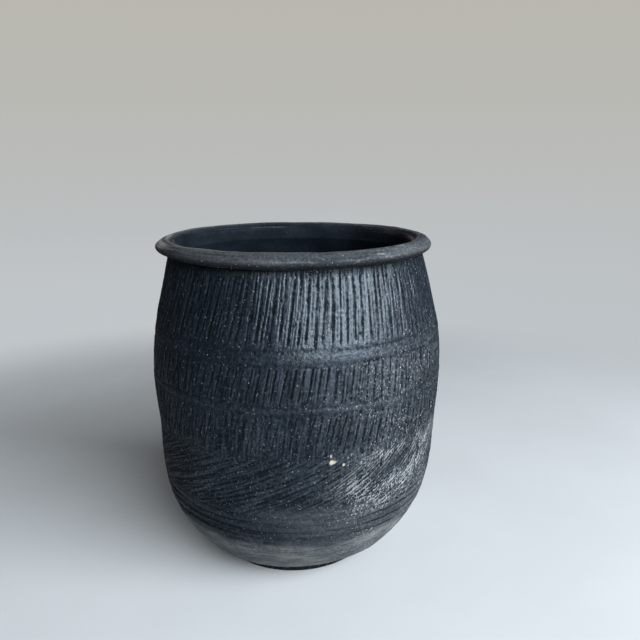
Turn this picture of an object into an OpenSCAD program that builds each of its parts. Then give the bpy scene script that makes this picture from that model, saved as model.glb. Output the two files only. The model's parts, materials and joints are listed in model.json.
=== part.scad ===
// Black clay pot, built from a slab foot, a bowl, six wall coils and a rolled lip.
// Every coil is luted to the one below on a sloping seam, so the pieces meet face to face.
// The origin is at the middle of the underside, with +Z up through the mouth.

/* [Overall] */
// Height from the ground to the crest of the lip
pot_h = 350; // [300:5:420]
// Radius of the belly, the widest part of the wall
belly_r = 155.5; // [145:0.5:170]
// Radius outside the neck, in the crease under the lip
neck_r = 133.8; // [132:0.1:142]
// Radius of the flat foot
foot_r = 84.5; // [76:0.5:92]

/* [Clay] */
// Thickness of the wall, square to its surface
wall = 11; // [8:0.5:13]
// Height of the upright edge of the foot, below the bowl
foot_h = 6; // [4:0.5:9]
// Rounding of the foot where it meets the ground
foot_round = 2.5; // [1:0.5:4]
// How much higher each seam lies inside the wall than outside
scarf = 6; // [2:0.5:8]

/* [Lip] */
// Height of the rolled lip above the crease
lip_h = 15.4; // [14:0.2:20]
// How far the lip's nose stands out from the crease
lip_out = 11.2; // [8:0.1:13]
// Drop from the crest of the lip to its nose
lip_drop = 6.8; // [5:0.1:8]
// Rounding of the nose
nose_round = 5; // [3:0.5:6]
// Rounding of the lip into the mouth
crest_round = 10.9; // [8:0.1:12]

/* [Scribed lines] */
// Depth of a line scribed round the wall
line_d = 1.4; // [0.5:0.1:2.5]
// Width of a scribed line
line_w = 3.2; // [2:0.2:5]

/* [Hidden] */

// Seams between the coils, as heights on the outside of the wall
neck_z = pot_h - lip_h;
bowl_top = 0.19 * pot_h;
grooved_top = 0.30 * pot_h;
diagonal_top = 0.46 * pot_h;
lower_top = 0.595 * pot_h;
middle_top = 0.735 * pot_h;
shoulder_top = 0.85 * pot_h;

// Lines scribed round the wall: four low ones, a pair with a fillet between them, a pair on the shoulder
low_lines = [for (i = [0:3]) bowl_top + pot_h * (0.022 + 0.025 * i)];
fillet_foot = lower_top - 0.007 * pot_h;
fillet_top = lower_top + 0.015 * pot_h;
plain_foot = middle_top - 0.017 * pot_h;
plain_top = middle_top + 0.018 * pot_h;

// Wall outline: height and radius at each place where the curve changes
foot_flare = 1.75;
neck_lean = -0.30;
STATIONS = [
    [foot_h, foot_r],
    [0.065 * pot_h, 0.700 * belly_r],
    [0.130 * pot_h, 0.826 * belly_r],
    [0.200 * pot_h, 0.907 * belly_r],
    [0.280 * pot_h, 0.956 * belly_r],
    [0.340 * pot_h, 0.971 * belly_r],
    [0.430 * pot_h, 0.978 * belly_r],
    [0.610 * pot_h, belly_r],
    [0.740 * pot_h, 0.975 * belly_r],
    [0.850 * pot_h, 0.921 * belly_r],
    [neck_z, neck_r]
];
last = len(STATIONS) - 1;
step = 4;
round_fn = 120;
arc_n = 10;

// A smooth curve through the stations, with the given slopes at the foot and the neck
function rise(i) = STATIONS[i + 1][0] - STATIONS[i][0];
function secant(i) = (STATIONS[i + 1][1] - STATIONS[i][1]) / rise(i);
function slope(i) =
    i == 0 ? foot_flare
    : i == last ? neck_lean
    : (rise(i - 1) * secant(i) + rise(i) * secant(i - 1)) / (rise(i - 1) + rise(i));
function stretch_at(z, i = 0) = i == last - 1 || z < STATIONS[i + 1][0] ? i : stretch_at(z, i + 1);
function radius(z) =
    let (i = stretch_at(z), h = rise(i), t = (z - STATIONS[i][0]) / h)
    (2 * t ^ 3 - 3 * t ^ 2 + 1) * STATIONS[i][1]
    + (3 * t ^ 2 - 2 * t ^ 3) * STATIONS[i + 1][1]
    + (t ^ 3 - 2 * t ^ 2 + t) * h * slope(i)
    + (t ^ 3 - t ^ 2) * h * slope(i + 1);

// The point inside the wall that faces the outside at height z; the wall ends at the crease
function lean(z) =
    z >= neck_z ? neck_lean
    : z <= foot_h ? foot_flare
    : (radius(z + 0.1) - radius(z - 0.1)) / 0.2;
function inside(z) =
    let (at = min(z, neck_z), m = lean(at), depth = wall / sqrt(1 + m * m))
    [radius(at) - depth, at + depth * m];

// Heights from lo to hi, no more than one step apart, with every stop among them
function fine(stops) = concat(
    [for (i = [0:len(stops) - 2])
        let (n = ceil((stops[i + 1] - stops[i]) / step))
        for (k = [0:n - 1]) stops[i] + (stops[i + 1] - stops[i]) * k / n],
    [stops[len(stops) - 1]]
);
function line_stops(lines) = [for (z = lines) for (side = [-1:1]) z + side * line_w / 2];
function dip(z, lines) =
    max(concat([0], [for (at = lines) line_d * (1 - 2 * abs(z - at) / line_w)]));

// The section of a wall coil between two seams
function coil_section(lo, hi, lines) = concat(
    [for (z = fine(concat([lo], line_stops(lines), [hi]))) [radius(z) - dip(z, lines), z]],
    [for (z = fine([-hi - scarf, -lo - scarf])) inside(-z)]
);
function arc(centre, r, from, to) =
    [for (k = [0:arc_n]) let (a = from + (to - from) * k / arc_n) centre + r * [cos(a), sin(a)]];

module turned(section) rotate_extrude($fn = round_fn) polygon(section);

module wall_coil(lo, hi, lines = []) color("#2c3038") turned(coil_section(lo, hi, lines));

// Flat slab that the pot stands on; its top is the floor inside
module foot_slab() color("#191a1c") turned(concat(
    [[0, 0]],
    arc([foot_r - foot_round, foot_round], foot_round, -90, 0),
    [[foot_r, foot_h], inside(foot_h), [0, inside(foot_h)[1]]]
));

// Scraped bowl that flares from the foot
module base_bowl() color("#3b3a39") turned(concat(
    [for (z = fine([foot_h, bowl_top])) [radius(z), z]],
    [for (z = fine([-bowl_top - scarf, -foot_h])) inside(-z)]
));

module grooved_coil() wall_coil(bowl_top, grooved_top, low_lines);
module diagonal_coil() wall_coil(grooved_top, diagonal_top);
module lower_stroke_coil() wall_coil(diagonal_top, lower_top, [fillet_foot]);
module middle_stroke_coil() wall_coil(lower_top, middle_top, [fillet_top, plain_foot]);
module shoulder_coil() wall_coil(middle_top, shoulder_top, [plain_top]);
module neck_coil() wall_coil(shoulder_top, neck_z);

// Fat rolled lip: a straight undercut, a round nose, a sloping top and a quarter round into the mouth
module rim_coil() {
    crest = [inside(neck_z)[0] + crest_round, pot_h - crest_round];
    nose = [neck_r + lip_out - nose_round, pot_h - lip_drop];
    to_nose = nose - [neck_r, neck_z];
    undercut = atan2(to_nose[1], to_nose[0]) - asin(nose_round / norm(to_nose));
    to_crest = nose - crest;
    top = atan2(to_crest[1], to_crest[0]) + acos((crest_round - nose_round) / norm(to_crest));
    color("#34353a") turned(concat(
        [[neck_r, neck_z]],
        arc(nose, nose_round, undercut - 90, top),
        arc(crest, crest_round, top, 180),
        [inside(neck_z)]
    ));
}

foot_slab();
base_bowl();
grooved_coil();
diagonal_coil();
lower_stroke_coil();
middle_stroke_coil();
shoulder_coil();
neck_coil();
rim_coil();
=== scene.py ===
# %% [markdown]
# # A coil-built pot of smoked black clay
#
# The pot is a stack of clay pieces: a foot slab, a bowl, six wall coils and a rolled lip. The
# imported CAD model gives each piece's place and size. This script gives each one its real skin:
# the strokes and lines a potter cuts into soft clay, the dents of the hand, and the finish that
# smoke, wear and chalky dust leave behind.
#
# The first cell loads the CAD model as a frame. It is only measured, never moved.

# %% Load the frame
import json
import math
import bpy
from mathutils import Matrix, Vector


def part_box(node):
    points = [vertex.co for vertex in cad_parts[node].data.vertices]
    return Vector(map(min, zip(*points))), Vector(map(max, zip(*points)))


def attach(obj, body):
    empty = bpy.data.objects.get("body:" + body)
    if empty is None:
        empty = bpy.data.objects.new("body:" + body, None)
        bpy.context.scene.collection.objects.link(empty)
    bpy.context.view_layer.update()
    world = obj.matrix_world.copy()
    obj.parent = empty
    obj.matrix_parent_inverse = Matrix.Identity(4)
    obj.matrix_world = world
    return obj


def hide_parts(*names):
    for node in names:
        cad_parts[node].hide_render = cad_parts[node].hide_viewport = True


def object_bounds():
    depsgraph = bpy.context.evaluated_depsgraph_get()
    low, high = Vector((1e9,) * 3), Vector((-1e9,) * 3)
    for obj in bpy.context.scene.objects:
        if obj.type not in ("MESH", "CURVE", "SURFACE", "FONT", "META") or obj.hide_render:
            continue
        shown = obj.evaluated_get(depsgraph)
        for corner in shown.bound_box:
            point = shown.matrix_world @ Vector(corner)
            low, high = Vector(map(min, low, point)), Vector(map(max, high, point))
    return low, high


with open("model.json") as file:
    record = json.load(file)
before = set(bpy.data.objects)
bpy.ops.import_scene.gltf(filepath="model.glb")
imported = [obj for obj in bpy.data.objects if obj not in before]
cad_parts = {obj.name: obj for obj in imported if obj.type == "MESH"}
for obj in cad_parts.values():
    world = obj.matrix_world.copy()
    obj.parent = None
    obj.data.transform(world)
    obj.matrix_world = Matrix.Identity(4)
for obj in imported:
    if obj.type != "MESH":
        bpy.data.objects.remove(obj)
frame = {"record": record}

from types import SimpleNamespace

import bpy
import numpy as np

MM = 0.001
cad_box = [list(corner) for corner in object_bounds()]
HEIGHT = cad_box[1][2] / MM
BELLY = cad_box[1][0] / MM
print(f"pot: {HEIGHT:.1f} mm high, {2 * BELLY:.1f} mm across the belly")

# %% [markdown]
# ## The camera
#
# A camera's lens and its distance work together: close up with a wide lens, the near side of the
# lip swells; far off with a long lens, it flattens. This pot is seen from about five belly radii
# away, a little above the lip, looking down by 14 degrees.

# %% Stand the camera in front of the pot
LENS = 38.93
SENSOR = 36.0
LOOK_DOWN = 13.98
STANDPOINT = (0.166, -4.746, 2.828)  # in belly radii

camera_data = bpy.data.cameras.new("camera")
camera_data.lens = LENS
camera_data.sensor_width = SENSOR
camera = bpy.data.objects.new("camera", camera_data)
camera.location = [share * BELLY * MM for share in STANDPOINT]
camera.rotation_euler = (math.radians(90 - LOOK_DOWN), 0, 0)
bpy.context.scene.collection.objects.link(camera)
bpy.context.scene.camera = camera
print("camera at", [round(value, 3) for value in camera.location])

# %% [markdown]
# ## The outline of the wall
#
# A pot is a turned shape, so one curve describes it: how far the wall stands from the axis at
# each height. The curve passes through a few stations, given as shares of the pot's height and
# of its belly radius, and a cubic joins them. The seams between the pieces are read from the
# CAD model. NumPy works on whole arrays at once, so the same function serves one point or a
# million.

# %% Describe the wall
PIECES_UP = [
    "base_bowl", "grooved_coil", "diagonal_coil", "lower_stroke_coil",
    "middle_stroke_coil", "shoulder_coil", "neck_coil",
]
WALL = 11.0
FOOT_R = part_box("foot_slab")[1].x / MM
NOSE_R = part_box("rim_coil")[1].x / MM
LIP_OUT = 11.2
CREASE_R = NOSE_R - LIP_OUT
CREASE_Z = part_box("neck_coil")[1].z / MM
SEAMS = [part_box(name)[0].z / MM for name in PIECES_UP] + [CREASE_Z]
FOOT_TOP, BOWL_TOP, GROOVED_TOP, DIAGONAL_TOP, LOWER_TOP, MIDDLE_TOP, SHOULDER_TOP = SEAMS[:-1]
FOOT_FLARE = 1.75
NECK_LEAN = -0.30

SHARES = [
    (0.065, 0.700), (0.130, 0.826), (0.200, 0.907), (0.280, 0.956), (0.340, 0.971),
    (0.430, 0.978), (0.610, 1.000), (0.740, 0.975), (0.850, 0.921),
]
station_z = np.array([FOOT_TOP] + [share[0] * HEIGHT for share in SHARES] + [CREASE_Z])
station_r = np.array([FOOT_R] + [share[1] * BELLY for share in SHARES] + [CREASE_R])
gaps = np.diff(station_z)
secants = np.diff(station_r) / gaps
inner_slopes = (gaps[:-1] * secants[1:] + gaps[1:] * secants[:-1]) / (gaps[:-1] + gaps[1:])
slopes = np.concatenate([[FOOT_FLARE], inner_slopes, [NECK_LEAN]])


def wall_radius(z):
    """Distance of the outside of the wall from the axis at height z, in millimetres."""
    i = np.clip(np.searchsorted(station_z, z, side="right") - 1, 0, len(gaps) - 1)
    h = gaps[i]
    t = (z - station_z[i]) / h
    start = (2 * t**3 - 3 * t**2 + 1) * station_r[i] + (t**3 - 2 * t**2 + t) * h * slopes[i]
    end = (3 * t**2 - 2 * t**3) * station_r[i + 1] + (t**3 - t**2) * h * slopes[i + 1]
    return start + end


def wall_lean(z):
    """How fast the wall moves outward as it climbs; negative where it leans in."""
    low = np.clip(z - 0.1, FOOT_TOP, CREASE_Z)
    high = np.clip(z + 0.1, FOOT_TOP, CREASE_Z)
    return (wall_radius(high) - wall_radius(low)) / (high - low)


def wall_point(z, depth):
    """Radius and height of the point that lies depth below the outside at height z."""
    lean = wall_lean(z)
    square = np.sqrt(1 + lean**2)
    return wall_radius(z) - depth / square, z + depth * lean / square


print("seams at", [round(z, 1) for z in SEAMS])

# %% [markdown]
# ## Made by hand
#
# Nothing built from coils is perfectly round or level. Every point of every piece passes through
# the next function, so neighbouring pieces bend together and their seams stay closed. The stack
# drifts sideways as it grows, the wall is slightly oval, and the lip rises and falls by a
# millimetre.

# %% Bend a true shape into a handmade one
OVAL = 0.0022
THREE_LOBED = 0.0014
FOOT_DRIFT = 4.4
LIP_DRIFT = 0.85
LIP_TILT = 0.8
LIP_WAVE = 0.45


def smooth_step(value, low, high):
    """0 below low, 1 above high, and an easy S between them."""
    t = np.clip((value - low) / (high - low), 0, 1)
    return t * t * (3 - 2 * t)


def between(value, rise, full, fade, gone):
    """0 below rise, 1 from full to fade, and 0 again above gone."""
    return smooth_step(value, rise, full) * (1 - smooth_step(value, fade, gone))


def by_hand(radius, height, turn):
    """Places in metres for points at this radius, height and turn (0 at the front)."""
    round_off = 1 + OVAL * np.sin(2 * turn + 0.3 + height / 140)
    round_off = round_off + THREE_LOBED * np.sin(3 * turn + 2.1 - height / 90)
    drift = 0.6 - FOOT_DRIFT * np.exp(-height / 55) - LIP_DRIFT * smooth_step(height, 300, 334)
    level = LIP_TILT * np.sin(turn + 0.4) + LIP_WAVE * np.sin(2 * turn - 0.7)
    level = level * smooth_step(height, 0.78 * HEIGHT, HEIGHT)
    x = radius * round_off * np.sin(turn) + drift
    y = -radius * round_off * np.cos(turn)
    z = height + level
    return np.stack(np.broadcast_arrays(x, y, z), -1) * MM


# %% [markdown]
# ## A map of the skin
#
# The decoration is drawn on a map, like a rubbing of the wall rolled out flat: columns run round
# the pot and rows climb it. Each map is an array of numbers. `relief` says how far the clay
# stands out or in, and the others mark where the clay is cut, rubbed, scraped, chipped or dusty.
# The pieces then take their own rows of the maps, so a stroke runs on across a seam.

# %% Set up the maps
COLUMNS = 2400
ROW_MM = 0.5
row_count = int(round((CREASE_Z - FOOT_TOP) / ROW_MM)) + 1
row_z = np.linspace(FOOT_TOP, CREASE_Z, row_count)
row_step = row_z[1] - row_z[0]
row_r = wall_radius(row_z)
column_turn = np.arange(COLUMNS) * 2 * math.pi / COLUMNS
COLUMN_MM = 2 * math.pi * BELLY / COLUMNS
side = np.degrees((column_turn + math.pi) % (2 * math.pi) - math.pi)
wall_steps = (ROW_MM, COLUMN_MM)
FADE_OUT = 8  # how soon a wave is lost once it is shorter than the blur

groove = np.zeros((row_count, COLUMNS))
burr = np.zeros((row_count, COLUMNS))
scuff = np.zeros((row_count, COLUMNS))


def soften(field, long_mm, short_mm, tilt=0, steps=wall_steps):
    """Blur a map, more along a direction tilted by this many degrees from level."""
    up = np.fft.fftfreq(field.shape[0], steps[0])[:, None]
    around = np.fft.rfftfreq(field.shape[1], steps[1])[None, :]
    level = math.cos(math.radians(tilt))
    upright = math.sin(math.radians(tilt))
    along = (around * level + up * upright) * long_mm
    across = (up * level - around * upright) * short_mm
    waves = np.fft.rfft2(field) * np.exp(-FADE_OUT * (along**2 + across**2))
    return np.fft.irfft2(waves, s=field.shape)


def clay_noise(seed, long_mm, short_mm, tilt=0, shape=(row_count, COLUMNS), steps=wall_steps):
    """Random hills about long_mm by short_mm, with a spread of 1."""
    hills = soften(np.random.default_rng(seed).normal(size=shape), long_mm, short_mm, tilt, steps)
    return (hills - hills.mean()) / hills.std()


print(f"maps of {row_count} by {COLUMNS} points, {COLUMN_MM:.2f} mm apart")

# %% [markdown]
# ## Strokes
#
# The upright strokes were pulled down through leather-hard clay with a blunt point, one after
# another round the pot. Each presses a V with soft shoulders, pushes up a little clay beside it,
# starts blunt and fades out in a tail. Hand work shows in the spacing, the lean and the depth,
# which all wander. The tall strokes cross the seam in the shoulder, where the point jumps a
# little and lifts. The clay left standing between two strokes becomes a rounded rib.

# %% Press a stroke into the maps
def v_section(across):
    """Depth of a stroke across its width: 1 in the middle, 0 at the edges and beyond."""
    return np.clip(1 - np.abs(across), 0, 1) ** 1.7


def beside(across):
    """1 along both sides of a stroke, where clay is pushed up and wear catches."""
    hump = np.clip(1 - np.abs(np.abs(across) - 1.25) / 0.5, 0, 1)
    return hump**2 * (3 - 2 * hump)


def cut(rows, columns, across, depth, wear):
    """Press a stroke of this depth into the maps, with this much wear along its sides."""
    columns = columns % COLUMNS
    groove[rows, columns] = np.maximum(groove[rows, columns], depth * v_section(across))
    burr[rows, columns] = np.maximum(burr[rows, columns], 0.16 * depth * beside(across))
    scuff[rows, columns] = np.maximum(scuff[rows, columns], wear * beside(across))


def uneven(t, rng, waves, low, high):
    """Random strength along a stroke, between low and high."""
    knots = rng.uniform(low, high, waves)
    return np.interp(t, np.linspace(0, 1, waves), knots)


# %% Cut one upright stroke
def upright_stroke(turn, low, high, aim, lean, width, depth, rng):
    """A stroke down the wall that passes this turn at height aim and leans to the right above it."""
    rows = np.where((row_z >= low) & (row_z <= high))[0]
    z = row_z[rows]
    t = (z - low) / (high - low)
    shake = np.cumsum(rng.normal(size=len(rows))) * 0.02
    hook = rng.uniform(0.5, 2.0) * (rng.random() < 0.3) * smooth_step(t, 0.9, 1)
    kink = rng.normal(0, 0.45) * smooth_step(z, SHOULDER_TOP - 2, SHOULDER_TOP + 3)
    middle = math.tan(math.radians(lean)) * (z - aim) + shake + hook + kink
    centre = (turn * row_r[rows] + middle) / (2 * math.pi * row_r[rows]) * COLUMNS
    reach = np.arange(-14, 15)
    columns = np.round(centre).astype(int)[:, None] + reach
    across = (columns - centre[:, None]) * (2 * math.pi * row_r[rows, None] / COLUMNS) / (width / 2)
    press = depth * smooth_step(t, 0, 0.16) * smooth_step(1 - t, 0, 0.04)
    lifted = rng.uniform(0, 0.45) * np.exp(-(((z - SHOULDER_TOP) / 2.5) ** 2))
    press = press * uneven(t, rng, 12, 0.55, 1.2) * (1 - lifted)
    wear = uneven(t, rng, 18, -0.9, 0.9) * smooth_step(t, 0.02, 0.15)
    cut(rows[:, None], columns, across, press[:, None], wear[:, None])


# %% Cut the upright bands
def lean_at(turn):
    """How far the strokes lean, in degrees: the arm reached round further on one side."""
    return 4.5 - 8 * math.sin(turn - 0.09)


def upright_band(seed, low, high, count, extra_lean, width, depth):
    """A row of upright strokes round the pot between two heights."""
    rng = np.random.default_rng(seed)
    phases = rng.uniform(0, 6.3, 4)
    aim = (low + high) / 2
    for number in range(count):
        turn = 2 * math.pi * (number + rng.normal(0, 0.10)) / count
        top = high + rng.normal(0, 1.2) + 0.9 * math.sin(3 * turn + phases[0])
        foot = low + rng.normal(0, 2.0) + 1.2 * math.sin(2 * turn + phases[1])
        lean = lean_at(turn) + extra_lean + rng.normal(0, 0.8)
        firm = 1 + 0.22 * math.sin(2 * turn + phases[2]) + 0.15 * math.sin(7 * turn + phases[3])
        deep = depth * firm * rng.uniform(0.6, 1.15)
        upright_stroke(turn, foot, top, aim, lean, width * rng.uniform(0.8, 1.15), deep, rng)
        if rng.random() < 0.25:
            second = turn + rng.uniform(2.4, 4.4) / BELLY
            upright_stroke(second, foot + 3, top - 2, aim, lean, 0.45 * width, 0.5 * deep, rng)


upright_band(11, MIDDLE_TOP + 8.0, CREASE_Z - 7.0, 122, extra_lean=2.0, width=4.4, depth=0.85)
upright_band(13, LOWER_TOP + 6.0, MIDDLE_TOP - 7.5, 122, extra_lean=5.5, width=3.4, depth=1.25)
upright_band(14, DIAGONAL_TOP + 5.5, LOWER_TOP - 5.0, 127, extra_lean=9.0, width=3.3, depth=1.30)
print("upright strokes cut; deepest", round(groove.max(), 2), "mm")

# %% [markdown]
# ## Diagonal strokes
#
# Below the upright rows the point was swept round the pot instead: long strokes that leave the
# scribed lines almost level and climb to the right, steeper on one side of the pot than on the
# other. A finer set runs among them all the way round. In two places a shorter set crosses their
# feet, and on the dusty side a few shallow ones are white with chalk.

# %% Sweep one slanting stroke
CURL = 0.2


def slanting_stroke(turn, low, high, run, width, depth, dust, rng):
    """A stroke that climbs from low to high over run millimetres to the right."""
    first = int(turn / (2 * math.pi) * COLUMNS)
    columns = first + np.arange(int(run / COLUMN_MM))
    t = (columns - first) * COLUMN_MM / run
    height = low + (high - low) * (CURL * t * t + (1 - CURL) * t)
    height = height + np.cumsum(rng.normal(size=len(t))) * 0.02
    slope = (high - low) * (2 * CURL * t + 1 - CURL) / run
    centre = (height - FOOT_TOP) / row_step
    reach = np.arange(-9, 10)
    rows = np.round(centre).astype(int)[:, None] + reach
    across = (rows - centre[:, None]) * ROW_MM / np.sqrt(1 + slope**2)[:, None] / (width / 2)
    press = depth * smooth_step(t, 0, 0.16) * smooth_step(1 - t, 0, 0.08)
    press = press * uneven(t, rng, 12, 0.55, 1.2)
    wear = np.minimum(uneven(t, rng, 26, -1.0, 1.0) + dust, 1.1)
    cut(np.clip(rows, 0, row_count - 1), columns[:, None], across, press[:, None], wear[:, None])


# %% Sweep the slanting bands
def slanting_band(seed, first, last, count, low, high, slopes, width, depth, dust=0.0):
    """Slanting strokes from one turn to another, in degrees, between two heights.

    The slopes are their mean in degrees and how much steeper they are at the right.
    """
    rng = np.random.default_rng(seed)
    for number in range(count):
        spot = math.radians(first + (last - first) * (number + rng.normal(0, 0.13)) / count)
        start = low + rng.normal(0, 1.8)
        stop = high + rng.normal(0, 2.4)
        slope = slopes[0] + slopes[1] * math.sin(spot - 0.1) + rng.normal(0, 0.8)
        run = (stop - start) / math.tan(math.radians(slope))
        deep = depth * rng.uniform(0.6, 1.15)
        wide = width * rng.uniform(0.8, 1.2)
        slanting_stroke(spot, start, stop, run, wide, deep, dust, rng)


slanting_band(21, 0, 360, 122, GROOVED_TOP - 6, DIAGONAL_TOP - 2, (26, 5), 2.9, 0.72)
slanting_band(24, 0, 360, 74, GROOVED_TOP + 12, DIAGONAL_TOP - 3, (33, 5), 2.3, 0.50)
slanting_band(22, -14, 100, 40, GROOVED_TOP - 3, GROOVED_TOP + 25, (31, 3), 2.4, 0.5, dust=-0.4)
slanting_band(25, 8, 70, 17, GROOVED_TOP + 17, DIAGONAL_TOP + 4, (34, 3), 2.7, 0.30, dust=0.75)
slanting_band(23, 150, 250, 34, GROOVED_TOP - 3, GROOVED_TOP + 24, (29, 3), 2.4, 0.5)
print("diagonal strokes swept")

# %% [markdown]
# ## Scribed lines
#
# The level lines were scribed with the pot turning slowly under the tool. Four sharp ones ring
# the coil above the bowl. The soft ones beside the seams higher up, where one coil was luted to
# the next, were smoothed over again. A line wanders up and down by a millimetre or so and presses
# deeper in some places than in others.

# %% Scribe the lines round the wall
def wave_round(seed, waves=9):
    """A random wave round the pot, one value a column, with a spread of 1."""
    rng = np.random.default_rng(seed)
    total = sum(
        rng.normal() * np.sin(k * column_turn + rng.uniform(0, 6.3)) / k**0.5
        for k in range(1, waves + 1)
    )
    return (total - total.mean()) / total.std()


def scribe(seed, height, width, depth, wander):
    """A line round the pot at this height, pressed unevenly."""
    line = height + wander * wave_round(seed)
    press = depth * np.clip(0.8 + 0.3 * wave_round(seed + 500, 30), 0.15, 1.5)
    across = (row_z[:, None] - line[None, :]) / (width / 2)
    groove[:] = np.maximum(groove, press[None, :] * v_section(across))
    burr[:] = np.maximum(burr, 0.25 * press[None, :] * beside(across))


LOW_LINES = [BOWL_TOP + HEIGHT * (0.022 + 0.025 * i) for i in range(4)]
for number, z in enumerate(LOW_LINES):
    scribe(31 + number, z, width=4.6, depth=1.25, wander=0.6)
scribe(41, LOWER_TOP - 0.007 * HEIGHT, width=5.6, depth=0.26, wander=0.7)
scribe(42, LOWER_TOP + 0.015 * HEIGHT, width=5.8, depth=0.22, wander=0.8)
scribe(43, MIDDLE_TOP - 0.017 * HEIGHT, width=6.4, depth=0.28, wander=0.7)
scribe(44, MIDDLE_TOP + 0.018 * HEIGHT, width=6.6, depth=0.28, wander=0.7)
scribe(46, GROOVED_TOP + 1.5, width=3.8, depth=0.35, wander=0.8)
print("sharp lines scribed at", [round(z) for z in LOW_LINES], "and soft ones beside the seams above")

# %% [markdown]
# ## Dents, wiping and scraping
#
# Under the decoration the wall has its own surface: broad dents from the paddle, streaks from
# wiping with a wet cloth, fine ridges dragged along by the point, coarse drag marks where the
# bowl was scraped thin, and grit. White noise filtered in the frequency domain gives all of
# them: a filter that passes long waves one way and short waves the other makes streaks.

# %% Work the surface by hand
def band_mask(low, high, soft=6):
    """1 between two heights, fading out over soft millimetres; one value a row."""
    return (smooth_step(row_z, low - soft, low) * smooth_step(-row_z, -high - soft, -high))[:, None]


edge_of_bowl = row_z[:, None] + 4.0 * clay_noise(51, 40, 12) + 2.2 * clay_noise(50, 14, 3)
scraped = 1 - smooth_step(edge_of_bowl, BOWL_TOP - 9, BOWL_TOP + 7)
# The scraped grey stops short of the foot, so the lowest few millimetres of the bowl stay black:
# painted shade above the foot.
scraped = scraped * smooth_step(row_z, FOOT_TOP + 3, FOOT_TOP + 11)[:, None]
fillet = np.exp(-(((row_z - LOWER_TOP - 0.004 * HEIGHT) / 3.0) ** 2))[:, None]
plain = np.exp(-(((row_z - MIDDLE_TOP - 0.5) / 5.5) ** 2))[:, None]
dents = 0.34 * clay_noise(52, 60, 45) + 0.12 * clay_noise(53, 14, 11)
wiping = clay_noise(54, 34, 1.6)
drags = clay_noise(55, 22, 2.0)
facets = clay_noise(56, 26, 9)
grit = clay_noise(57, 1.2, 1.2)
pits = np.clip(clay_noise(58, 2.4, 2.2) - 2.1, 0, 1.2)

upright_fibres = clay_noise(63, 16, 1.0, 84)
slanting_fibres = clay_noise(64, 18, 1.0, 28)
fibres = upright_fibres * band_mask(DIAGONAL_TOP + 4, CREASE_Z)
fibres = fibres + slanting_fibres * band_mask(GROOVED_TOP, DIAGONAL_TOP - 4)
lower_fillet = band_mask(LOWER_TOP - 3, LOWER_TOP + 6, 3)
upper_fillet = band_mask(MIDDLE_TOP - 7, MIDDLE_TOP + 8, 3)
smoothed = np.maximum(lower_fillet, upper_fillet)
fibres = fibres * (1 - 0.8 * smoothed) + wiping * band_mask(FOOT_TOP, GROOVED_TOP - 8)
print("fillets at", round(LOWER_TOP), "and", round(MIDDLE_TOP))

# %% Wear it in front, scrape it below and add it all up
smear = np.clip(0.92 + 0.16 * clay_noise(59, 50, 18), 0.5, 1.15)
in_front = between(side, -22, -12, 10, 40)[None, :]
smear = smear * (1 - 0.80 * in_front * band_mask(BOWL_TOP - 4, GROOVED_TOP - 2, 8))
smear = smear * (1 - 0.8 * scraped)
dusty_side = between(side, -25, 15, 80, 120)[None, :]
scraped = np.maximum(scraped, 0.30 * dusty_side * band_mask(BOWL_TOP - 8, GROOVED_TOP - 4, 16))
relief = dents + 0.03 * wiping + 0.30 * fillet + 0.25 * plain
relief = relief + 0.09 * fibres * (1 - scraped) + scraped * (0.11 * drags + 0.14 * facets)
relief = relief + (burr - groove) * smear + 0.065 * grit - 0.45 * pits

edge_fade = smooth_step(row_z, FOOT_TOP, FOOT_TOP + 4)
edge_fade = edge_fade * smooth_step(-row_z, -CREASE_Z, -CREASE_Z + 2.5)
print(f"relief from {relief.min():.2f} to {relief.max():.2f} mm")

# %% [markdown]
# ## Chips
#
# Flakes have come off where a lump of lime lay under the skin, and left cream spots: one with two
# small ones beside it in front, and one at the back. A chip is a shallow crater with a ragged
# rim.

# %% Knock out the chips
chipped = np.zeros_like(relief)


def chip(turn_degrees, z, half_wide, half_high, depth):
    """A shallow crater with a cream floor."""
    around = (side - turn_degrees + 180) % 360 - 180
    across = np.radians(around)[None, :] * BELLY / half_wide
    up = (row_z[:, None] - z) / half_high
    ragged = np.sqrt(across**2 + up**2) + 0.24 * grit + 0.22 * drags
    floor = 1 - smooth_step(ragged, 0.7, 1.05)
    chipped[:] = np.maximum(chipped, floor)
    relief[:] = relief - depth * floor


chip(14.0, 156.0, 2.9, 2.4, 0.8)
chip(18.2, 153.0, 1.3, 1.2, 0.5)
chip(13.4, 163.5, 0.9, 1.8, 0.4)
chip(-151.0, 232.0, 2.2, 1.7, 0.6)
relief = relief * edge_fade[:, None]
print("chips cover", int((chipped > 0.5).sum()), "points of the map")

# %% [markdown]
# ## Chalk, rubbing and painted shade
#
# Hard water and lime wash leave a white bloom. It sits in the grooves and pores of one side of
# the pot, thickest among the diagonal strokes, so it is worked out from the side and the height.
# Handling does the opposite: it polishes whatever stands proud to a graphite grey, less on the
# left, where the grey is held back as painted shade on the side away from the window. What stands
# proud is the relief less a blurred copy of itself. Hollows stay matt: the grooves are painted dark
# for soot and painted shade, and the crease under the lip and the bowl just above the foot are
# painted dark as painted shade.

# %% Find where chalk gathers and hands rub
CHALK_AT = {6: 0.3, 40: 0.5, 70: 0.8, 105: 1, 155: 1, 175: 0.65, 250: 0.5, 285: 0.2, 330: 0.12}
RUBBED_AT = {60: 0.46, 110: 0.42, 200: 0.46, 245: 0.58, 275: 1}


def by_height(strength_at):
    """One strength a row, from a few given at heights in millimetres."""
    return np.interp(row_z, list(strength_at), list(strength_at.values()))[:, None]


right_side = between(side, 0, 34, 38, 108)
back_side = 0.4 * smooth_step(np.abs(side), 125, 160)
patches = np.clip(0.85 + 0.25 * clay_noise(61, 24, 12), 0.3, 1.3)
chalky_sides = (0.12 + 0.85 * right_side + back_side)[None, :]
chalk = np.clip(chalky_sides * by_height(CHALK_AT) * patches, 0, 1)

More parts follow.
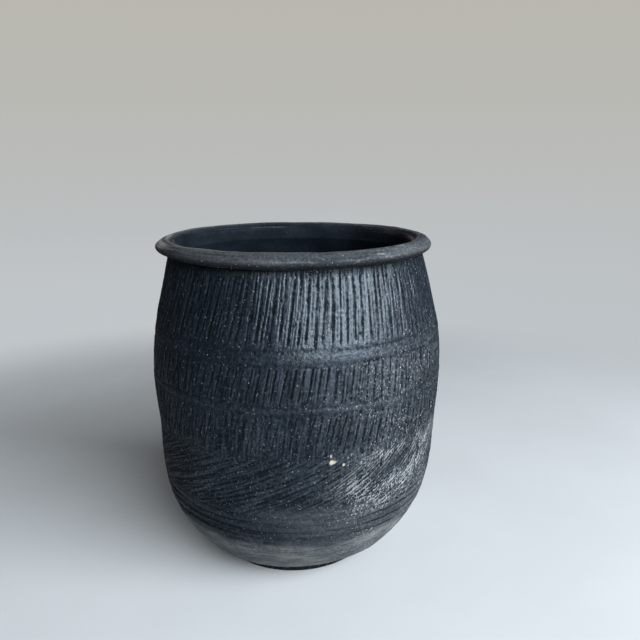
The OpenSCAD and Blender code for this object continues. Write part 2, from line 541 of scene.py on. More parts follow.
proud = relief - soften(relief, 7, 7)
handled = np.clip(0.85 + 0.2 * clay_noise(62, 40, 30), 0.2, 1.2)
rubbed = smooth_step(proud + 0.05 * fibres, -0.42, 0.34) * handled * by_height(RUBBED_AT)
# Less graphite grey on the left, the side turned away from the window: painted shade.
painted_shade_side = between(-side, 6, 32, 90, 140)
rubbed = rubbed * (1 - 0.42 * painted_shade_side)[None, :]
# Painted shade: the crease under the lip and the bowl just above the foot are painted dark. The
# grooves are painted dark too, partly soot and partly painted shade.
painted_shade_under_lip = smooth_step(row_z, CREASE_Z - 9, CREASE_Z - 1)[:, None]
painted_shade_above_foot = 0.85 * (1 - smooth_step(row_z, FOOT_TOP + 4, FOOT_TOP + 12))[:, None]
hollow = np.maximum(smooth_step(groove * smear, 0.14, 0.65), painted_shade_under_lip)
hollow = np.maximum(hollow, painted_shade_above_foot)
wall_maps = {
    "hollow": hollow, "rubbed": rubbed, "scraped": scraped, "chipped": chipped, "chalk": chalk,
    "scuff": np.clip(scuff, 0, 1) * smear, "fibre": fibres,
}
print("mean chalk", round(float(chalk.mean()), 3))

# %% [markdown]
# ## The way the skin faces
#
# Smooth shading needs a normal at every point. If each coil worked out its own, the shading
# would break at the seams, because a coil doesn't know its neighbour. The whole map's normals
# are worked out once instead, from the slopes round the pot and up the wall, and every coil
# takes its share of them.

# %% Work out normals for grids that close round the pot
def ring_normals(places):
    """Outward unit normals of a grid of points, rows climbing and columns going round."""
    round_pot = np.roll(places, -1, 1) - np.roll(places, 1, 1)
    climbing = np.gradient(places, axis=0)
    normals = np.cross(round_pot, climbing)
    return normals / np.linalg.norm(normals, axis=2, keepdims=True)


skin_r, skin_z = wall_point(row_z[:, None], -relief)
skin = by_hand(skin_r, skin_z, column_turn[None, :])
skin_normals = ring_normals(skin)
print("skin of", skin.shape[0] * skin.shape[1], "points")

# %% [markdown]
# ## Building a coil
#
# A wall coil is a ring with a skin outside, a skin inside and a sloping seam face at the top and
# the bottom. `mesh.from_pydata` would work, but filling the mesh's arrays directly is much
# faster for a hundred thousand faces. The normals go along as a `custom_normal` attribute. The
# seam faces are flat-shaded with normals of their own, so the skin's shading stays clear of them
# and two coils meet without a visible line.

# %% List the faces between rings of points
def band_faces(lower, upper):
    """Faces between two rings of point numbers, which may have different counts."""
    step = max(len(lower), len(upper)) // min(len(lower), len(upper))
    faces = []
    short, long = (lower, upper) if len(lower) <= len(upper) else (upper, lower)
    for j in range(len(short)):
        run = [long[(step * j + k) % len(long)] for k in range(step + 1)]
        pair = [short[j], short[(j + 1) % len(short)]]
        faces.append(pair + run[::-1] if short is lower else pair[::-1] + run)
    return faces


def grid_quads(rows, columns, first):
    """Quads of a grid that closes round the pot, as an array of point numbers."""
    low = first + np.arange(rows - 1)[:, None] * columns
    here = np.arange(columns)[None, :]
    after = (here + 1) % columns
    quads = np.stack([low + here, low + after, low + columns + after, low + columns + here], -1)
    return quads.reshape(-1, 4)


# %% Make a closed mesh from them
def make_piece(name, points, normals, quads, seam_faces, marks):
    """A mesh object from points and their normals, smooth quads, flat faces and marks."""
    mesh = bpy.data.meshes.new(name)
    corners = [quads.ravel()] + [np.array(face) for face in seam_faces]
    sizes = np.concatenate([np.full(len(quads), 4), [len(face) for face in seam_faces]]).astype(int)
    corners = np.concatenate(corners).astype(np.int32)
    mesh.vertices.add(len(points))
    mesh.vertices.foreach_set("co", points.astype(np.float32).ravel())
    mesh.loops.add(len(corners))
    mesh.loops.foreach_set("vertex_index", corners)
    mesh.polygons.add(len(sizes))
    mesh.polygons.foreach_set("loop_start", (np.cumsum(sizes) - sizes).astype(np.int32))
    mesh.polygons.foreach_set("use_smooth", np.arange(len(sizes)) < len(quads))
    mesh.update(calc_edges=True)
    facing = np.empty(3 * len(sizes), np.float32)
    mesh.polygon_normals.foreach_get("vector", facing)
    corner_facing = normals[corners].astype(np.float32)
    flat = 4 * len(quads)
    corner_facing[flat:] = np.repeat(facing.reshape(-1, 3), sizes, 0)[flat:]
    layer = mesh.attributes.new("custom_normal", "FLOAT_VECTOR", "CORNER")
    layer.data.foreach_set("vector", corner_facing.ravel())
    for mark, values in marks.items():
        layer = mesh.attributes.new(mark, "FLOAT", "POINT")
        layer.data.foreach_set("value", values.astype(np.float32).ravel())
    mesh.validate()
    piece = bpy.data.objects.new(name, mesh)
    bpy.context.scene.collection.objects.link(piece)
    print(f"{name}: {len(points)} points, {len(sizes)} faces")
    return piece


# %% [markdown]
# ## The inside of the wall
#
# Nobody smooths the inside as carefully as the outside. Fingers drawn round while the coils were
# pressed together leave shallow level troughs, and the clay stays darker because the smoke
# settled there.

# %% Shape the inside
INNER_COLUMNS = 600
TROUGH_PITCH = 21


def inner_skin(low, high, rows):
    """Radius, height and turn of the inside between two heights, with finger troughs."""
    z = np.linspace(low, high, rows)[:, None]
    turn = np.arange(INNER_COLUMNS)[None, :] * 2 * math.pi / INNER_COLUMNS
    rng = np.random.default_rng(71)
    wander = sum(
        rng.normal() * np.sin(k * turn + rng.uniform(0, 6.3)) for k in range(1, 6)
    )
    troughs = 0.30 * np.sin(z * 2 * math.pi / TROUGH_PITCH + 0.5 * wander)
    lumps = 0.35 * np.sin(5 * turn + z / 21) + 0.3 * np.sin(9 * turn - z / 13 + wander)
    ends = smooth_step(z, FOOT_TOP, FOOT_TOP + 14) * smooth_step(-z, -CREASE_Z, -CREASE_Z + 45)
    radius, height = wall_point(z, WALL + (troughs + 0.5 * lumps) * ends)
    return radius, height, turn


# %% [markdown]
# ## Rings of the wall
#
# A viewer copes best with pieces of fewer than 200,000 triangles, so every ring has a budget. The
# inside is coarse, and what is left goes to the skin, in rows that crowd together at the scribed
# lines. The low pieces, which carry no fine upright strokes, use every second column of the
# maps. The seams slope up into the wall, so the inside of a ring starts and ends a little higher
# than its outside.

# %% Build one ring of the wall
TRIANGLES = 197000
INNER_ROW_MM = 3.0
FINEST_ROW_MM = 0.45
ALL_LINES = LOW_LINES + [LOWER_TOP + 2, MIDDLE_TOP - 5, MIDDLE_TOP + 5]


def spread_rows(low, high, count):
    """Heights between two seams, closer together at the scribed lines."""
    fine = np.linspace(low, high, 2000)
    crowd = 1 + sum(1.5 * np.exp(-(((fine - z) / 3.2) ** 2)) for z in ALL_LINES)
    climb = np.concatenate([[0], np.cumsum((crowd[1:] + crowd[:-1]) / 2)])
    return np.interp(np.linspace(0, climb[-1], count), climb, fine)


def wall_coil(name, low, high, stride, inner_low, inner_high):
    """One ring of the wall, with its share of the maps on the outside."""
    columns = COLUMNS // stride
    inner_rows = max(3, int((inner_high - inner_low) / INNER_ROW_MM) + 1)
    spare = TRIANGLES - 2 * INNER_COLUMNS * (inner_rows + 4) - 2 * columns
    rows = min(int(spare / (2 * columns)), int((high - low) / FINEST_ROW_MM)) + 1
    z = spread_rows(low, high, rows)
    place = np.clip((z - FOOT_TOP) / row_step, 0, row_count - 1)
    below = np.clip(place.astype(int), 0, row_count - 2)
    share = place - below

    def take(field):
        """This coil's rows of a map."""
        weight = share.reshape((-1,) + (1,) * (field.ndim - 1))
        return (field[below] * (1 - weight) + field[below + 1] * weight)[:, ::stride]

    inside = by_hand(*inner_skin(inner_low, inner_high, inner_rows))
    first = rows * columns
    inside_normals = -ring_normals(inside)
    points = np.concatenate([take(skin).reshape(-1, 3), inside.reshape(-1, 3)])
    normals = np.concatenate([take(skin_normals).reshape(-1, 3), inside_normals.reshape(-1, 3)])
    quads = np.concatenate([
        grid_quads(rows, columns, 0),
        grid_quads(inner_rows, INNER_COLUMNS, first)[:, ::-1],
    ])
    outer_ring = np.arange(columns)
    inner_ring = first + np.arange(INNER_COLUMNS)
    bottom = band_faces(inner_ring.tolist(), outer_ring.tolist())
    top = band_faces(
        (outer_ring + (rows - 1) * columns).tolist(),
        (inner_ring + (inner_rows - 1) * INNER_COLUMNS).tolist(),
    )
    marks = {
        mark: np.concatenate([take(field).ravel(), np.zeros(inner_rows * INNER_COLUMNS)])
        for mark, field in wall_maps.items()
    }
    marks["inside"] = np.concatenate([np.zeros(first), np.ones(inner_rows * INNER_COLUMNS)])
    return make_piece(name, points, normals, quads, bottom + top, marks)


# %% Build the bowl and the wall coils
SCARF = 6.0
COARSE_PIECES = ("base_bowl", "grooved_coil", "diagonal_coil")
wall_pieces = {}
for name, low, high in zip(PIECES_UP, SEAMS[:-1], SEAMS[1:]):
    stride = 2 if name in COARSE_PIECES else 1
    inner_low = low if name == "base_bowl" else low + SCARF
    inner_high = min(high + SCARF, CREASE_Z)
    wall_pieces[name] = wall_coil(name + "_clay", low, high, stride, inner_low, inner_high)

# %% [markdown]
# ## The rolled lip
#
# The last coil was folded outward and squeezed between finger and thumb. Its section runs from
# the crease under the lip, round a full lower side to a ridge, over a sloping top to the crest
# and by a quarter round into the mouth. Two Bezier curves give the outside; two handles bend
# each of them. The potter pushed the lip out further on the left, and the ridge kept nicks.

# %% Draw the lip's section
LIP_DROP = 7.0
CREST_ROUND = 10.9
LIP_PUSH = 1.8
throat_r, throat_z = wall_point(np.array(CREASE_Z), WALL)
crease = np.array([CREASE_R, CREASE_Z])
ridge_at = np.array([NOSE_R, HEIGHT - LIP_DROP])
crest_at = np.array([throat_r + CREST_ROUND, HEIGHT])


def bezier(start, handle, handle_2, end):
    """Points along a cubic Bezier curve."""
    t = np.linspace(0, 1, 60)[:, None]
    curve = (1 - t) ** 3 * start + 3 * (1 - t) ** 2 * t * (start + handle)
    return curve + 3 * (1 - t) * t**2 * (end + handle_2) + t**3 * end


def lip_section(spacing):
    """Radius, height and distance along the lip from the crease to the throat."""
    below = bezier(crease, (3.4, 0.9), (0.2, -5.4), ridge_at)
    above = bezier(ridge_at, (-1.3, 2.2), (5.0, 0.0), crest_at)
    quarter = np.linspace(math.pi / 2, math.pi, 40)[:, None]
    into = crest_at + CREST_ROUND * np.concatenate([np.cos(quarter), np.sin(quarter) - 1], 1)
    corners = np.concatenate([below, above[1:], into[1:], [[throat_r, throat_z]]])
    along = np.concatenate([[0], np.cumsum(np.hypot(*np.diff(corners, axis=0).T))])
    even = np.linspace(0, along[-1], int(along[-1] / spacing) + 1)
    r = np.interp(even, along, corners[:, 0])
    z = np.interp(even, along, corners[:, 1])
    for line in (r, z):
        line[1:-1] = 0.25 * line[:-2] + 0.5 * line[1:-1] + 0.25 * line[2:]
    return r, z, even


# %% Lay out the lip's grid
LIP_COLUMNS = 1200
LIP_STEP = 0.67
lip_r, lip_z, lip_along = lip_section(LIP_STEP)
lip_shape = (len(lip_r), LIP_COLUMNS)
lip_steps = (LIP_STEP, 2 * math.pi * NOSE_R / LIP_COLUMNS)
lip_turn = np.arange(LIP_COLUMNS)[None, :] * 2 * math.pi / LIP_COLUMNS
out_r = np.gradient(lip_z)
out_z = -np.gradient(lip_r)
length = np.hypot(out_r, out_z)


def lip_noise(seed, long_mm, short_mm):
    """Random hills on the lip, long round the pot and short across the section."""
    return clay_noise(seed, long_mm, short_mm, 0, lip_shape, lip_steps)


print(f"lip section {lip_along[-1]:.1f} mm long, in {lip_shape[0]} steps")

# %% Roll the lip
ridge_along = lip_along[np.argmax(lip_r)]
crest_along = lip_along[np.argmax(lip_z)]
ridge = np.exp(-(((lip_along - ridge_along) / 1.8) ** 2))[:, None]
streaks = lip_noise(83, 24, 1.4)
nicks = np.clip(lip_noise(85, 2.8, 1.6) - 2.1, 0, 1.4)
ends = smooth_step(lip_along, 0, 4) * smooth_step(-lip_along, -lip_along[-1], -lip_along[-1] + 6)
lip_relief = 0.26 * lip_noise(81, 34, 20) + 0.10 * lip_noise(82, 12, 6) + 0.05 * streaks
lip_relief = lip_relief + 0.04 * lip_noise(84, 1.6, 1.6) - 0.55 * nicks * ridge
lip_relief = lip_relief - 0.2 * np.clip(lip_noise(86, 2.2, 1.8) - 2.2, 0, 1)
lip_relief = lip_relief * ends[:, None]

radius = lip_r[:, None] + lip_relief * (out_r / length)[:, None]
height = lip_z[:, None] + lip_relief * (out_z / length)[:, None]
outward = smooth_step(lip_r, crest_at[0], NOSE_R)[:, None]
radius = radius - LIP_PUSH * outward * np.sin(lip_turn)
lip_points = by_hand(radius, height, lip_turn)
lip_normals = ring_normals(lip_points)
lip_ring = np.arange(LIP_COLUMNS)
lip_seam = band_faces((lip_ring + (lip_shape[0] - 1) * LIP_COLUMNS).tolist(), lip_ring.tolist())


# %% Mark the lip's painted shade, rubbing and chalk
def over_lip(values):
    """One value a row, repeated round the lip."""
    return np.broadcast_to(np.asarray(values, float).reshape(-1, 1), lip_shape)


lip_right = smooth_step(np.sin(lip_turn - 0.15), 0.0, 0.7)
ridge_z = ridge_at[1]
on_top = smooth_step(lip_z, ridge_z - 2, ridge_z + 1)[:, None]
lip_marks = {
    # The underside of the lip, from the crease to the ridge, is painted nearly black: painted shade
    # under the lip.
    "hollow": over_lip(0.95 - 0.95 * smooth_step(lip_along, 0.6 * ridge_along, ridge_along + 1.5)),
    "rubbed": smooth_step(0.3 * lip_relief + 0.2 * streaks, -0.7, 0.6) * on_top,
    "scraped": np.zeros(lip_shape),
    "chipped": 0.35 * np.clip(1.8 * nicks * ridge, 0, 1),
    "chalk": 0.12 + 0.35 * lip_right * over_lip(smooth_step(lip_z, ridge_z - 3, ridge_z)),
    "scuff": np.clip(lip_noise(87, 9, 1.6) - 0.9, 0, 1) * lip_right,
    "fibre": 0.6 * streaks,
    "inside": over_lip(smooth_step(lip_along, crest_along - 1, crest_along + 9)),
}
lip_marks = {mark: values.ravel() for mark, values in lip_marks.items()}
lip_piece = make_piece(
    "rim_coil_clay", lip_points.reshape(-1, 3), lip_normals.reshape(-1, 3),
    grid_quads(*lip_shape, 0), lip_seam, lip_marks,
)

# %% [markdown]
# ## The foot slab
#
# The slab is the pot's foot outside and its floor inside. Underneath it is slightly hollow, so
# that the pot stands on the outer ring without rocking. Its outside is painted nearly black as
# painted shade under the bowl, and its upright edge is worn grey in patches.

# %% Draw the slab's section
FOOT_COLUMNS = 720
FOOT_ROUND = 2.5
FOOT_HOLLOW = 0.9
EYE_R = 2
foot_turn = np.arange(FOOT_COLUMNS)[None, :] * 2 * math.pi / FOOT_COLUMNS
floor_r, floor_z = wall_point(np.array(FOOT_TOP), WALL)
under_r = np.linspace(EYE_R, FOOT_R - FOOT_ROUND, 30)
edge_turn = np.linspace(-math.pi / 2, 0, 7)[1:]
shell_r = np.concatenate([under_r, FOOT_R - FOOT_ROUND * (1 - np.cos(edge_turn)), [FOOT_R] * 4])
shell_z = np.concatenate([
    FOOT_HOLLOW * (1 - smooth_step(under_r, 20, FOOT_R - 12)),
    FOOT_ROUND * (1 + np.sin(edge_turn)),
    np.linspace(FOOT_ROUND, FOOT_TOP, 5)[1:],
])
inner_r = np.linspace(floor_r, EYE_R, 40)
inner_z = floor_z + 0.5 * np.sin(inner_r / 7) * smooth_step(-inner_r, -floor_r, -floor_r + 20)
shell_shape = (len(shell_r), FOOT_COLUMNS)
print(f"floor {float(floor_z):.1f} mm above the ground")

# %% Turn the slab
shell_steps = (1.2, 2 * math.pi * FOOT_R / FOOT_COLUMNS)
wear = clay_noise(91, 9, 4, 0, shell_shape, shell_steps)
on_edge = (np.exp(-(((shell_z - 2.6) / 1.5) ** 2)) * (shell_r > FOOT_R - 2.4))[:, None]
shell = by_hand(shell_r[:, None] + 0.35 * wear * on_edge, shell_z[:, None], foot_turn)
floor_grid = by_hand(inner_r[:, None], inner_z[:, None], foot_turn)
centres = by_hand(np.zeros(2), np.array([shell_z[0], inner_z[-1]]), np.zeros(2))
slab_points = np.concatenate([shell.reshape(-1, 3), floor_grid.reshape(-1, 3), centres])
slab_normals = np.concatenate([
    ring_normals(shell).reshape(-1, 3), ring_normals(floor_grid).reshape(-1, 3),
    [[0, 0, -1], [0, 0, 1]],
])

# %% Close the slab and mark its worn edge
floor_first = shell_shape[0] * FOOT_COLUMNS
last = floor_first + (len(inner_r) - 1) * FOOT_COLUMNS
middle = len(slab_points) - 2
slab_quads = np.concatenate([
    grid_quads(*shell_shape, 0), grid_quads(len(inner_r), FOOT_COLUMNS, floor_first)
])
ring = np.arange(FOOT_COLUMNS)
slab_seams = band_faces((ring + floor_first - FOOT_COLUMNS).tolist(), (ring + floor_first).tolist())
slab_seams += [[middle, (j + 1) % FOOT_COLUMNS, j] for j in range(FOOT_COLUMNS)]
slab_seams += [[middle + 1, last + j, last + (j + 1) % FOOT_COLUMNS] for j in range(FOOT_COLUMNS)]
on_shell = np.concatenate([np.ones(floor_first), np.zeros(len(slab_points) - floor_first)])
worn_edge = np.zeros(len(slab_points))
patchy = np.clip(0.5 + 0.3 * wear, 0, 1).ravel()
worn_edge[:floor_first] = np.repeat(on_edge.ravel(), FOOT_COLUMNS) * patchy
slab_marks = {
    # The slab's outside is painted nearly black: painted shade under the bowl.
    "hollow": 0.8 * on_shell, "rubbed": 0.6 * worn_edge, "scraped": 0.03 * on_shell,
    "chipped": 0 * on_shell, "chalk": 0.08 * on_shell, "scuff": 0 * on_shell,
    "fibre": 0 * on_shell, "inside": 1 - on_shell,
}
foot_piece = make_piece(
    "foot_slab_clay", slab_points, slab_normals, slab_quads, slab_seams, slab_marks
)

# %% [markdown]
# ## Shader maths in plain Python
#
# A material is a graph of nodes. Wiring it by hand hides the idea behind the plumbing, so `Wire`
# wraps the output of a node and lets it be added, multiplied or subtracted like a number. Each
# operation adds one Math node. `Finish` makes every other node with a single method.

# %% Wrap sockets and nodes
class Wire:
    """The output of a node, which adds Math nodes when it is used in a sum."""

    def __init__(self, finish, socket):
        self.finish = finish
        self.socket = socket

    def maths(self, operation, first, second):
        return self.finish.node("ShaderNodeMath", {"operation": operation}, {0: first, 1: second})

    def __add__(self, other):
        return self.maths("ADD", self, other)

    def __radd__(self, other):
        return self.maths("ADD", other, self)

    def __sub__(self, other):
        return self.maths("SUBTRACT", self, other)

    def __rsub__(self, other):
        return self.maths("SUBTRACT", other, self)

    def __mul__(self, other):
        return self.maths("MULTIPLY", self, other)

    def __rmul__(self, other):
        return self.maths("MULTIPLY", other, self)


class Finish:
    """A material under construction."""

    def __init__(self, name):
        self.material = bpy.data.materials.new(name)
        self.material.use_nodes = True
        self.tree = self.material.node_tree
        self.shader = self.tree.nodes["Principled BSDF"]
        self.here = self.node("ShaderNodeTexCoord", {}, {}, "Object")

    def node(self, kind, settings, inputs, output=0):
        """Add a node, set it up, feed its inputs and return one of its outputs."""
        made = self.tree.nodes.new(kind)
        for setting, value in settings.items():
            setattr(made, setting, value)
        for name, value in inputs.items():
            self.feed(made.inputs[name], value)
        return Wire(self, made.outputs[output])

    def feed(self, socket, value):
        """Link a wire to a socket, or set the socket's own value."""
        if isinstance(value, Wire):
            self.tree.links.new(value.socket, socket)
        else:
            socket.default_value = value

    def mark(self, name):
        """One of the maps that were stored on the mesh."""
        return self.node("ShaderNodeAttribute", {"attribute_name": name}, {}, "Fac")

    def grain(self, per_metre, detail=3.0, roughness=0.55):
        """Noise with this many features a metre along X, Y and Z, between 0 and 1."""
        scaled = self.node(
            "ShaderNodeVectorMath", {"operation": "MULTIPLY"}, {0: self.here, 1: per_metre}
        )
        return self.node(
            "ShaderNodeTexNoise", {},
            {"Vector": scaled, "Scale": 1.0, "Detail": detail, "Roughness": roughness},
        )

    def step(self, value, low, high):
        """0 where value is below low, 1 above high, smooth between."""
        return self.node(
            "ShaderNodeMapRange", {"interpolation_type": "SMOOTHSTEP"},
            {"Value": value, "From Min": low, "From Max": high},
        )

    def mix(self, factor, first, second):
        """A colour between two colours."""
        return self.node(
            "ShaderNodeMix", {"data_type": "RGBA"}, {0: factor, 6: first, 7: second}, 2
        )

    def bump(self, height, distance, under=None):
        """A bumped normal, on top of another one if it is given."""
        inputs = {"Height": height, "Distance": distance, "Strength": 1.0}
        if under is not None:
            inputs["Normal"] = under
        return self.node("ShaderNodeBump", {}, inputs)


# %% [markdown]
# ## Smoked clay
#
# The black is carbon: the kiln is sealed while the pot is hot, and smoke soaks into the clay.
# The body colour is close to black, and most of what the eye sees is sheen. One roughness for the
# whole wall would look wet, so two shaders are mixed instead: a polished one on the rubbed ribs,
# which are smooth graphite, and a dry one in strokes, on the inside and where the colour is painted
# near black: soot and painted shade in the grooves, painted shade under the lip and at the foot.
# The scraped bowl keeps a dusty grey. The bump carries only what is finer than the mesh: grit,
# pores and cloth marks.

# %% Name the colours and the textures
# The first colour is the near black painted where the soot-and-shade map is high: soot and painted
# shade in the grooves, painted shade under the lip and at the foot.
SOOT_AND_SHADE_BLACK = (0.0030, 0.0036, 0.0048, 1)
BLACK = (0.0020, 0.0034, 0.0062, 1)
BLUE_BLACK = (0.0046, 0.0078, 0.0130, 1)
GRAPHITE = (0.024, 0.035, 0.051, 1)
LIP_BLACK = (0.022, 0.026, 0.031, 1)
LIP_GREY = (0.040, 0.045, 0.053, 1)
LIP_GRAPHITE = (0.084, 0.093, 0.106, 1)
SCRAPED = (0.098, 0.106, 0.113, 1)
BEIGE = (0.160, 0.156, 0.144, 1)
CHALK = (0.46, 0.49, 0.52, 1)
CREAM = (0.38, 0.355, 0.295, 1)
UMBER = (0.050, 0.041, 0.034, 1)
MARKS = ("hollow", "rubbed", "scraped", "chalk", "scuff", "fibre", "inside", "chipped")


def clay_textures(clay):
    """The grains of the clay and the marks stored on its mesh, by name."""
    wires = {
        "mottle": clay.grain((28, 28, 36), 4.0),
        "fine": clay.grain((300, 300, 300), 4.0, 0.65),
        "speck": clay.grain((640, 640, 600), 2.0, 0.5),
        "level": clay.grain((50, 50, 700), 3.0),
        "dash": clay.grain((900, 900, 230), 2.0, 0.5),
    }
    for name in MARKS:
        wires[name] = clay.mark(name)
    return SimpleNamespace(**wires)


# %% Colour the clay
def clay_body(clay, on, deep, tint, worn, brown):
    """Black clay, greyer where it is rubbed or scraped, and painted near black in the grooves for
    soot and painted shade, and under the lip and at the foot as painted shade.
    """
    body = clay.mix(clay.step(on.mottle + 0.6 * on.fine + 0.05 * on.fibre, 0.55, 1.05), deep, tint)
    body = clay.mix(on.rubbed * clay.step(on.fine + 0.06 * on.fibre, 0.25, 0.80), body, worn)
    body = clay.mix(brown * clay.step(on.mottle, 0.42, 0.62), body, UMBER)
    dusty = clay.step(on.level + 0.5 * on.mottle + 0.3 * on.fine, 0.72, 1.02)
    body = clay.mix(on.scraped * (0.45 + 0.55 * dusty), body, SCRAPED)
    stained = clay.step(on.mottle + 0.3 * on.level, 0.60, 0.80)
    body = clay.mix(on.scraped * on.scraped * stained * 0.7, body, BEIGE)
    # Painted near black: soot and painted shade in the grooves, painted shade under the lip and at
    # the foot.
    return clay.mix(on.hollow * 0.9, body, SOOT_AND_SHADE_BLACK)


def chalk_over(clay, on, body):
    """That colour under chalk: a haze, streaks beside the strokes, dashes and specks."""
    specks = clay.step(on.speck + 0.03 * on.chalk, 0.665, 0.74)
    dashes = clay.step(on.dash + 0.10 * on.chalk, 0.68, 0.77)
    haze = clay.step(on.fine + 0.35 * on.mottle, 0.55, 0.95) * on.chalk
    streaky = clay.step(on.scuff * (0.6 + on.chalk) + 0.5 * on.fine, 0.55, 1.05)
    body = clay.mix(0.15 * haze, body, CHALK)
    body = clay.mix(streaky * (0.08 + 0.36 * on.chalk), body, CHALK)
    body = clay.mix(dashes * (0.16 + 0.40 * on.chalk), body, CHALK)
    body = clay.mix(specks * (0.40 + 0.45 * on.chalk), body, CHALK)
    return clay.mix(on.chipped, body, CREAM)


# %% Finish the clay, polished and dry
def smoked_clay(name, deep=BLACK, tint=BLUE_BLACK, worn=GRAPHITE, brown=0.0):
    """A finish of smoked clay in these colours, with a share of brown in its mottling."""
    clay = Finish(name)
    on = clay_textures(clay)
    body = chalk_over(clay, on, clay_body(clay, on, deep, tint, worn, brown))
    dark = clay.mix(clay.step(on.mottle, 0.38, 0.62), BLACK, BLUE_BLACK)
    body = clay.mix(on.inside * 0.9, body, dark)
    sheen = 0.43 - 0.08 * on.rubbed + 0.36 * on.hollow + 0.34 * on.scraped + 0.30 * (on.fine - 0.5)
    skin = clay.bump(on.fine + 0.6 * on.speck, 0.00034)
    skin = clay.bump(on.level + on.dash, 0.00012, skin)

    clay.feed(clay.shader.inputs["Base Color"], body)
    clay.feed(clay.shader.inputs["Roughness"], sheen + 0.12 * on.chalk + 0.12 * on.inside)
    clay.feed(clay.shader.inputs["Normal"], skin)
    clay.shader.inputs["Specular IOR Level"].default_value = 0.66
    clay.shader.inputs["Specular Tint"].default_value = (0.76, 0.89, 1.0, 1)
    dry = clay.node(
        "ShaderNodeBsdfPrincipled", {},
        {"Base Color": body, "Roughness": 0.9, "Specular IOR Level": 0.15,
         "Specular Tint": (0.62, 0.84, 1.0, 1), "Normal": skin},
    )
    handled = on.rubbed + 0.7 * (on.fine - 0.5) + 0.04 * on.fibre
    polish = clay.step(handled - 0.45 * on.inside - 0.35 * on.hollow, -0.1, 0.95)
    blended = clay.node(
        "ShaderNodeMixShader", {}, {0: polish, 1: dry, 2: Wire(clay, clay.shader.outputs[0])}
    )
    clay.feed(clay.tree.nodes["Material Output"].inputs["Surface"], blended)
    return clay.material


clay_for = {
    "black_clay": smoked_clay("smoked_black_clay"),
    "scraped_clay": smoked_clay("scraped_bowl_clay"),
    "rim_clay": smoked_clay("handled_lip_clay", LIP_BLACK, LIP_GREY, LIP_GRAPHITE, brown=0.12),
    # The foot's finish is darker all over, without the graphite grey: painted shade under the bowl.
    "foot_clay": smoked_clay("painted_shade_foot_clay", BLACK, BLACK, BLUE_BLACK),
}
print("finishes:", sorted(material.name for material in clay_for.values()))

# %% [markdown]
# ## Putting the pieces in place
#
# Each clay piece stands for the CAD piece of the same name, rides on the pot's only body and
# takes the finish that the record names for it.

# %% Hand the pieces to the frame
slot_of = {row["node"]: row["material_slot"] for row in frame["record"]["subparts"]}
pieces = dict(wall_pieces, rim_coil=lip_piece, foot_slab=foot_piece)
for node, piece in pieces.items():
    piece.data.materials.append(clay_for[slot_of[node]])
    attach(piece, "root")
    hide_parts(node)
print(len(pieces), "pieces ride on the root body")

# %% [markdown]
# ## Floor, backdrop and light
#
# The pot stands on a plain pale floor that sweeps up into a plain backdrop, as in a photo
# studio. The light is one large soft window to the right and in front. Its lower edge is a little
# higher than the lip, so the sheen lies on the lip and the shoulder, which tilt up to meet it, and
# the belly below stays dark. A weak light behind the pot and a weak sky keep the far side
# readable. The colours are shown with the plain Standard transform, so they stay as mixed.

# %% Mix the studio's paint
FLOOR_REACH = 1.1
SWEEP_REACH = 3.4
SWEEP_TOP = 3.0
FLOOR_PAINT = (0.66, 0.70, 0.735, 1)
FLOOR_CLOUD = (0.50, 0.52, 0.54, 1)
PAPER_NEAR = (0.50, 0.53, 0.555, 1)
PAPER_FAR = (0.475, 0.465, 0.425, 1)
UNLIT = (0, 0, 0, 1)


def studio_paint(name):
    """Pale matt paint on the floor, which turns into warmer, self-lit paper further away."""
    paint = Finish(name)
    away = paint.node("ShaderNodeVectorMath", {"operation": "LENGTH"}, {0: paint.here}, 1)
    far = paint.step(away, 0.7, FLOOR_REACH)
    wall = paint.step(away, 1.2, SWEEP_REACH)
    cloud = paint.grain((5, 5, 5), 5.0)
    colour = paint.mix(paint.step(cloud, 0.35, 0.65) * 0.14, FLOOR_PAINT, FLOOR_CLOUD)
    paint.feed(paint.shader.inputs["Base Color"], paint.mix(far, colour, UNLIT))
    paper = paint.mix(wall, PAPER_NEAR, PAPER_FAR)
    paint.feed(paint.shader.inputs["Emission Color"], paint.mix(far, UNLIT, paper))
    paint.shader.inputs["Emission Strength"].default_value = 1.0
    paint.shader.inputs["Roughness"].default_value = 0.75
    return paint.material


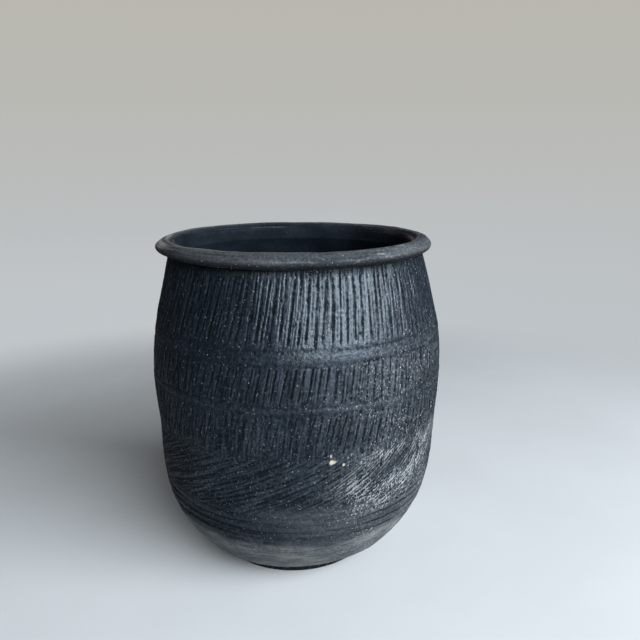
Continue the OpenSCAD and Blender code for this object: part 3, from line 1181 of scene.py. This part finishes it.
# %% Turn the floor and the backdrop
def turned_stage(name, outline, material):
    """A surface of the set turned round the axis, from radius and height pairs in metres."""
    turns = 96
    points = []
    faces = []
    for row, (radius, height) in enumerate(outline):
        for k in range(turns):
            angle = 2 * math.pi * k / turns
            points.append((radius * math.cos(angle), radius * math.sin(angle), height))
            if row:
                below = (row - 1) * turns
                after = (k + 1) % turns
                faces.append((below + k, row * turns + k, row * turns + after, below + after))
    mesh = bpy.data.meshes.new(name)
    mesh.from_pydata(points, [], faces)
    mesh.polygons.foreach_set("use_smooth", [True] * len(faces))
    mesh.materials.append(material)
    stage = bpy.data.objects.new(name, mesh)
    bpy.context.scene.collection.objects.link(stage)
    print(f"{name}: {len(faces)} faces")
    return stage


paint = studio_paint("studio_paint")
turned_stage("studio_floor", [(0.0005, 0), (0.3, 0), (FLOOR_REACH, 0)], paint)
curve = np.linspace(0, math.pi / 2, 24)
bend = SWEEP_REACH - FLOOR_REACH
sweep_outline = [(FLOOR_REACH + bend * math.sin(a), bend * (1 - math.cos(a))) for a in curve]
backdrop = turned_stage("studio_backdrop", sweep_outline + [(SWEEP_REACH, SWEEP_TOP)], paint)
backdrop.visible_diffuse = False
backdrop.visible_glossy = False
backdrop.visible_shadow = False


# %% Light the pot
def soft_light(name, turn, low, high, distance, wide, power, colour):
    """An upright area light at this turn, spanning two heights, that faces the pot."""
    data = bpy.data.lights.new(name, "AREA")
    data.shape = "RECTANGLE"
    data.size = wide
    data.size_y = high - low
    data.energy = power
    data.color = colour
    light = bpy.data.objects.new(name, data)
    round_pot = math.radians(turn)
    light.location = (
        distance * math.sin(round_pot), -distance * math.cos(round_pot), (low + high) / 2
    )
    light.rotation_euler = (math.radians(90), 0, round_pot)
    light.visible_camera = False
    bpy.context.scene.collection.objects.link(light)
    return light


soft_light(
    "tall_window", turn=43, low=0.48, high=2.05, distance=2.0, wide=2.8, power=154,
    colour=(0.95, 0.98, 1.0),
)
soft_light(
    "back_light", turn=200, low=0.3, high=1.8, distance=1.9, wide=1.8, power=7,
    colour=(1.0, 0.98, 0.95),
)
world = bpy.data.worlds.new("even_sky")
world.use_nodes = True
sky = world.node_tree.nodes["Background"]
sky.inputs["Color"].default_value = (0.86, 0.92, 1.0, 1)
sky.inputs["Strength"].default_value = 0.025
bpy.context.scene.world = world
bpy.context.scene.view_settings.view_transform = "Standard"

# %% [markdown]
# ## The CAD model's size
#
# The box of the CAD model, measured when it was loaded, is printed.

# %% Print the CAD box
print("cad box", np.round(cad_box, 4).tolist())
